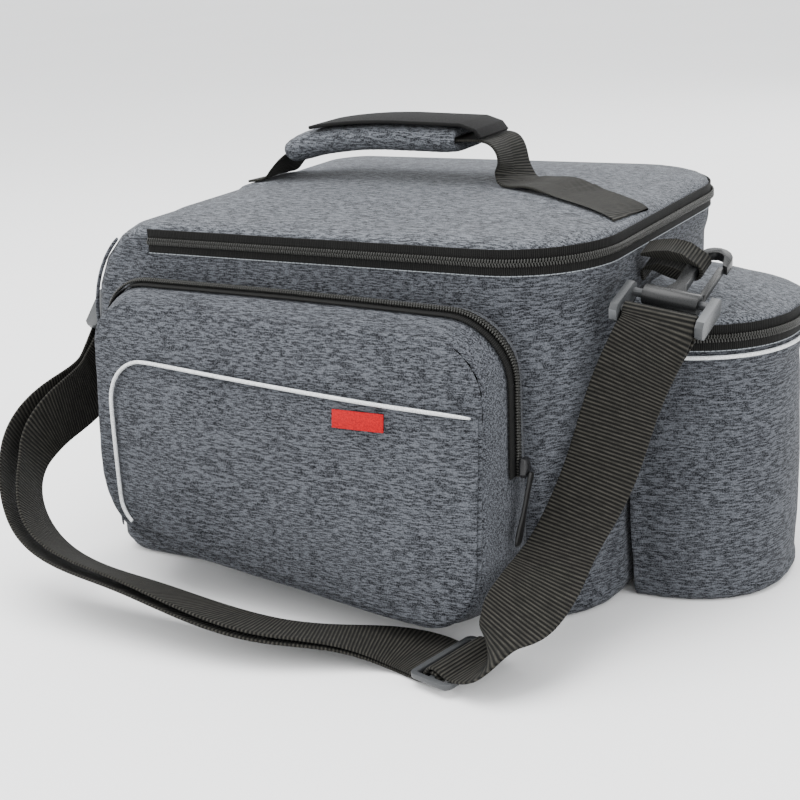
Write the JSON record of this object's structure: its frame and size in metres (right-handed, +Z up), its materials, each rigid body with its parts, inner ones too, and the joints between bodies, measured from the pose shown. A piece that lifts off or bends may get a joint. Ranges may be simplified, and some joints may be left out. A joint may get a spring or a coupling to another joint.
{
  "type": "bicycle trunk bag",
  "caption": "Soft padded rack bag with a zipped lid, zipped front pocket, round bottle pocket on its end, carrying handle and a shoulder strap on snap hooks.",
  "frame": {"origin": "centre of the main compartment's flat base, on the surface that it rests on", "axes": "+X towards the bottle pocket's end, -Y towards the front pocket, +Z up"},
  "size_m": [0.4267, 0.3578, 0.2561],
  "materials": {
    "fabric": "heather blue-grey woven polyester with short light and dark flecks",
    "webbing": "warm black ribbed webbing",
    "zip_tape": "black zip tape",
    "zip_coil": "black nylon coil",
    "zip_slider": "dark painted metal",
    "zip_pull": "moulded black rubbery pull",
    "hook_plastic": "dark moulded plastic with a soft sheen",
    "silver_piping": "silver reflective piping",
    "red_label": "red woven tab, blank"
  },
  "bodies": {
    "bag": {"main_shell": "fabric", "main_lid": "fabric", "corner_piping_front": "fabric", "corner_piping_back": "fabric", "handle_grip": "fabric", "pocket_gusset": "fabric", "pocket_front": "fabric", "pocket_overlay": "fabric", "bottle_shell": "fabric", "bottle_lid": "fabric", "handle_webbing": "webbing", "handle_flap": "webbing", "tab_right": "webbing", "tab_left": "webbing", "shoulder_strap": "webbing", "main_zip_tape": "zip_tape", "pocket_zip_tape": "zip_tape", "bottle_zip_tape": "zip_tape", "main_zip_coil": "zip_coil", "pocket_zip_coil": "zip_coil", "bottle_zip_coil": "zip_coil", "main_slider": "zip_slider", "pocket_slider": "zip_slider", "bottle_slider": "zip_slider", "main_pull": "zip_pull", "pocket_pull": "zip_pull", "bottle_pull": "zip_pull", "hook_frame_right": "hook_plastic", "hook_frame_left": "hook_plastic", "hook_right": "hook_plastic", "hook_left": "hook_plastic", "slider_buckle": "hook_plastic", "pocket_piping": "silver_piping", "bottle_piping": "silver_piping", "label_tab": "red_label"},
    "gate_right": {"hook_gate_right": "hook_plastic"},
    "gate_left": {"hook_gate_left": "hook_plastic"}
  },
  "joints": [
    {"name": "gate_right_hinge", "type": "hinge", "parent": "bag", "child": "gate_right", "pos_m": [0.20507, -0.06509, 0.1754], "axis": [0.1317, -0.3227, 0.9373], "range_deg": [0, 13], "stiffness_Nm_per_rad": 0.002, "springref_deg": -11.46},
    {"name": "gate_left_hinge", "type": "hinge", "parent": "bag", "child": "gate_left", "pos_m": [-0.1705, -0.07665, 0.15497], "axis": [-1, 0, 0], "range_deg": [0, 13], "stiffness_Nm_per_rad": 0.002, "springref_deg": -11.46}
  ]
}
